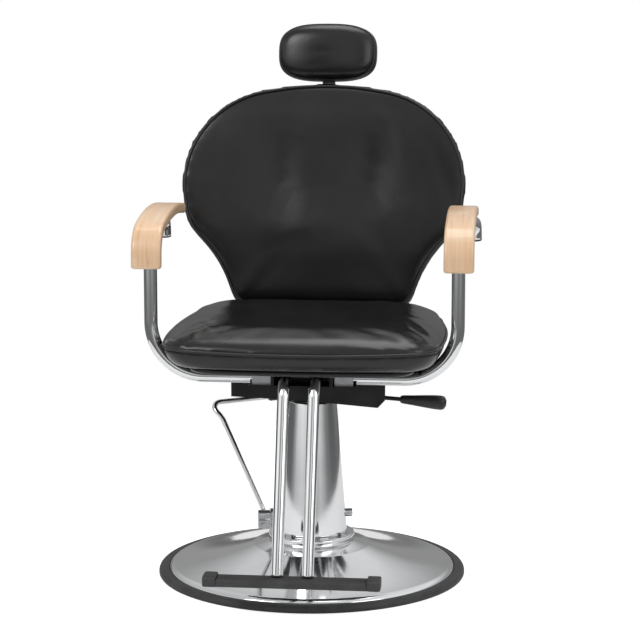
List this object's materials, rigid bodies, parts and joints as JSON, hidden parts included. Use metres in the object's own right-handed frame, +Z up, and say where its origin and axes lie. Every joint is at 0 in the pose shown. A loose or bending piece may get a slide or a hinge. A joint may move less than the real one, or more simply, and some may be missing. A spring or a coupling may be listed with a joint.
{
  "type": "hydraulic barber chair",
  "caption": "Upholstered barber chair on a round chromed floor base, with foot-pumped lift, swivel, reclining back, sliding headrest, wooden armrests and footrest.",
  "frame": {"origin": "on the floor, on the axis of the column", "axes": "+Z up, -Y the chair's front, +X the side of the recline handle; chair lowered, facing forward, back upright"},
  "size_m": [0.6466, 0.7265, 1.0614],
  "materials": {
    "chrome": "bright chrome plate",
    "rubber_black": "matt black rubber",
    "black_steel": "black powder coat",
    "cast_black": "black painted casting",
    "plain_steel": "ground steel",
    "bolt_steel": "zinc plated steel",
    "bronze": "plain bearing bronze",
    "pale_wood": "pale clear-varnished beech",
    "plywood": "plywood",
    "black_vinyl": "black satin upholstery vinyl",
    "black_plastic": "moulded black plastic"
  },
  "bodies": {
    "base": {"base_plate": "black_steel", "rim_trim": "rubber_black", "base_dome": "chrome", "column_flange": "chrome", "flange_bolts": "bolt_steel", "column_cover": "chrome", "pump_body": "cast_black", "oil_reservoir": "plain_steel", "lift_cylinder": "plain_steel", "gland_cap": "plain_steel", "gland_bush": "bronze", "shaft_bracket": "bolt_steel"},
    "lift": {"piston": "plain_steel", "piston_seal": "rubber_black"},
    "seat": {"ram": "chrome", "seat_hub": "black_steel", "seat_saddle": "black_steel", "seat_rail_left": "black_steel", "seat_rail_right": "black_steel", "hinge_pins": "bolt_steel", "saddle_bolts": "bolt_steel", "footrest_bracket": "black_steel", "gas_bracket": "black_steel", "gas_pin": "bolt_steel", "gas_cylinder": "black_steel", "handle_bracket": "black_steel", "handle_pin": "bolt_steel", "arm_tube_left": "chrome", "arm_tube_right": "chrome", "armrest_left": "pale_wood", "armrest_right": "pale_wood", "tube_clamps": "bolt_steel", "arm_plugs": "black_plastic", "arm_screws": "bolt_steel", "footrest_tube_left": "chrome", "footrest_tube_right": "chrome", "footrest_bar": "rubber_black", "footrest_caps": "rubber_black", "seat_board": "plywood", "seat_cushion": "black_vinyl"},
    "back": {"back_cushion": "black_vinyl", "back_panel": "black_plastic", "back_bar_left": "black_steel", "back_bar_right": "black_steel", "back_crossbar": "black_steel", "back_lever": "black_steel", "lever_pin": "bolt_steel", "back_screws": "bolt_steel", "headrest_guide": "black_steel"},
    "gas_strut": {"gas_rod": "plain_steel"},
    "headrest": {"headrest_post": "plain_steel", "headrest_pad": "black_vinyl"},
    "foot_lever": {"lever_shaft": "bolt_steel", "lever_clamp": "bolt_steel", "clamp_bolt": "bolt_steel", "lever_rod": "chrome", "foot_grip": "rubber_black"},
    "plunger": {"pump_plunger": "plain_steel"},
    "handle": {"handle_lever": "black_steel", "handle_grip": "black_plastic"}
  },
  "joints": [
    {"name": "lift", "type": "slide", "parent": "base", "child": "lift", "axis": [0, 0, 1], "range_m": [0, 0.14]},
    {"name": "swivel", "type": "hinge", "parent": "lift", "child": "seat", "pos_m": [0, 0, 0.3], "axis": [0, 0, 1], "continuous": true},
    {"name": "recline", "type": "hinge", "parent": "seat", "child": "back", "pos_m": [0, 0.215, 0.416], "axis": [-1, 0, 0], "range_deg": [0, 35]},
    {"name": "gas_slide", "type": "slide", "parent": "seat", "child": "gas_strut", "axis": [0, -1, 0], "range_m": [0, 0.0352]},
    {"name": "headrest_height", "type": "slide", "parent": "back", "child": "headrest", "axis": [0, 0.1564, 0.9877], "range_m": [0, 0.1]},
    {"name": "pump_lever", "type": "hinge", "parent": "base", "child": "foot_lever", "pos_m": [0, 0, 0.114], "axis": [-0.9659, -0.2588, 0], "range_deg": [0, 20], "stiffness_Nm_per_rad": 6, "springref_deg": -28.65},
    {"name": "plunger_stroke", "type": "slide", "parent": "base", "child": "plunger", "axis": [0, 0, -1], "range_m": [0, 0.0095]},
    {"name": "recline_release", "type": "hinge", "parent": "seat", "child": "handle", "pos_m": [0.118, -0.02, 0.354], "axis": [0, -1, 0], "range_deg": [0, 12], "stiffness_Nm_per_rad": 2, "springref_deg": -17.19}
  ],
  "couplings": [
    {"joint": "gas_slide", "follows": "recline", "m_per_rad": 0.0571},
    {"joint": "plunger_stroke", "follows": "pump_lever", "m_per_rad": 0.0267}
  ]
}
